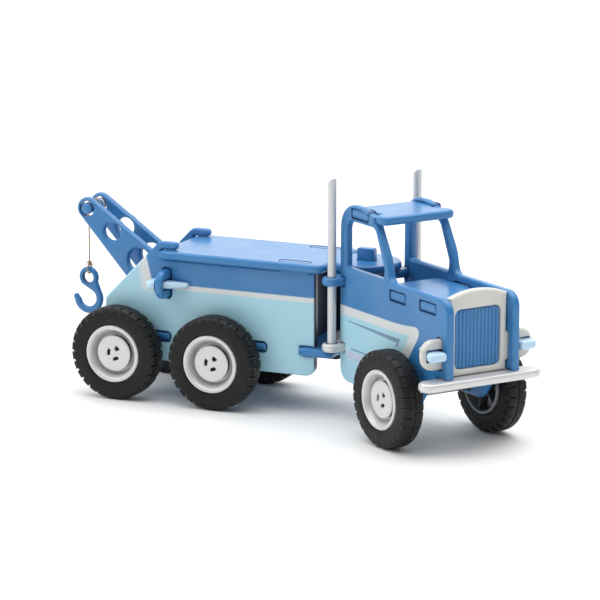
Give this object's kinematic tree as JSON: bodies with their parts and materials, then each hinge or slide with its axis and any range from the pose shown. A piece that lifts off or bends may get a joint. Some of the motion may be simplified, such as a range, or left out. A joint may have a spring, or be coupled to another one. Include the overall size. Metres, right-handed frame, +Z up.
{
  "type": "toy tow truck",
  "caption": "Slot-together toy tow truck with a swivelling cab, rolling tyred wheels and a hanging tow hook on a boom.",
  "frame": {"origin": "centre of the footprint at the ground, with the cab turned 33.94 degrees as stored", "axes": "+Z up, +X forward along the rear body, +Y to the rear body's left"},
  "size_m": [0.371, 0.1664, 0.1683],
  "materials": {
    "blue": "satin gloss paint on fibreboard",
    "navy": "satin paint on fibreboard",
    "two_tone": "satin gloss paint on fibreboard, blue over light blue with a cream band",
    "cream": "satin gloss paint on fibreboard",
    "pale_blue": "satin gloss paint on fibreboard",
    "silver": "silver paint on fibreboard",
    "steel": "satin",
    "rubber": "matte",
    "rim": "silver-white gloss",
    "string": "twisted twine"
  },
  "bodies": {
    "rear_body": {"side_panel_right": "two_tone", "side_panel_left": "two_tone", "deck_panel": "blue", "chassis_plate": "blue", "front_bulkhead": "navy", "rear_cross_panel": "blue", "rear_key_right": "pale_blue", "rear_key_left": "pale_blue", "pivot_post": "blue", "boom_plate_right": "blue", "boom_plate_left": "blue"},
    "cab": {"cab_side_right": "two_tone", "cab_side_left": "two_tone", "roof_panel": "blue", "hood_panel": "blue", "grille_panel": "cream", "grille_insert": "blue", "headlamp_key_right": "pale_blue", "headlamp_key_left": "pale_blue", "swivel_plate": "blue", "bumper_floor_plate": "silver", "exhaust_stack_right": "steel", "exhaust_stack_left": "steel"},
    "rearmost_wheels": {"rearmost_axle": "steel", "rearmost_tyre_right": "rubber", "rearmost_tyre_left": "rubber", "rearmost_rim_right": "rim", "rearmost_rim_left": "rim", "rearmost_hub_right": "rim", "rearmost_hub_left": "rim"},
    "middle_wheels": {"middle_axle": "steel", "middle_tyre_right": "rubber", "middle_tyre_left": "rubber", "middle_rim_right": "rim", "middle_rim_left": "rim", "middle_hub_right": "rim", "middle_hub_left": "rim"},
    "front_wheels": {"front_axle": "steel", "front_tyre_right": "rubber", "front_tyre_left": "rubber", "front_rim_right": "rim", "front_rim_left": "rim", "front_hub_right": "rim", "front_hub_left": "rim"},
    "winch": {"winch_dowel": "blue"},
    "tow_line": {"tow_string": "string", "string_knot": "string", "string_loop": "string"},
    "hook": {"tow_hook": "blue"}
  },
  "joints": [
    {"name": "cab_swivel", "type": "hinge", "parent": "rear_body", "child": "cab", "pos_m": [0.0375, 0.03356, 0.094], "axis": [0, 0, 1], "range_deg": [-6.06, 73.94]},
    {"name": "rearmost_spin", "type": "hinge", "parent": "rear_body", "child": "rearmost_wheels", "pos_m": [-0.1346, 0.03356, 0.033], "axis": [0, 1, 0], "continuous": true},
    {"name": "middle_spin", "type": "hinge", "parent": "rear_body", "child": "middle_wheels", "pos_m": [-0.059, 0.03356, 0.033], "axis": [0, 1, 0], "continuous": true},
    {"name": "front_spin", "type": "hinge", "parent": "cab", "child": "front_wheels", "pos_m": [0.1125, -0.01691, 0.033], "axis": [0.5583, 0.8296, 0], "continuous": true},
    {"name": "winch_spin", "type": "hinge", "parent": "rear_body", "child": "winch", "pos_m": [-0.1727, 0.03356, 0.127], "axis": [0, 1, 0], "continuous": true},
    {"name": "tow_line_swing", "type": "hinge", "parent": "rear_body", "child": "tow_line", "pos_m": [-0.1727, 0.03356, 0.127], "axis": [0, 1, 0], "range_deg": [-20, 60]},
    {"name": "hook_tilt", "type": "hinge", "parent": "tow_line", "child": "hook", "pos_m": [-0.1781, 0.03356, 0.0804], "axis": [0, 1, 0], "range_deg": [-15, 15]}
  ]
}
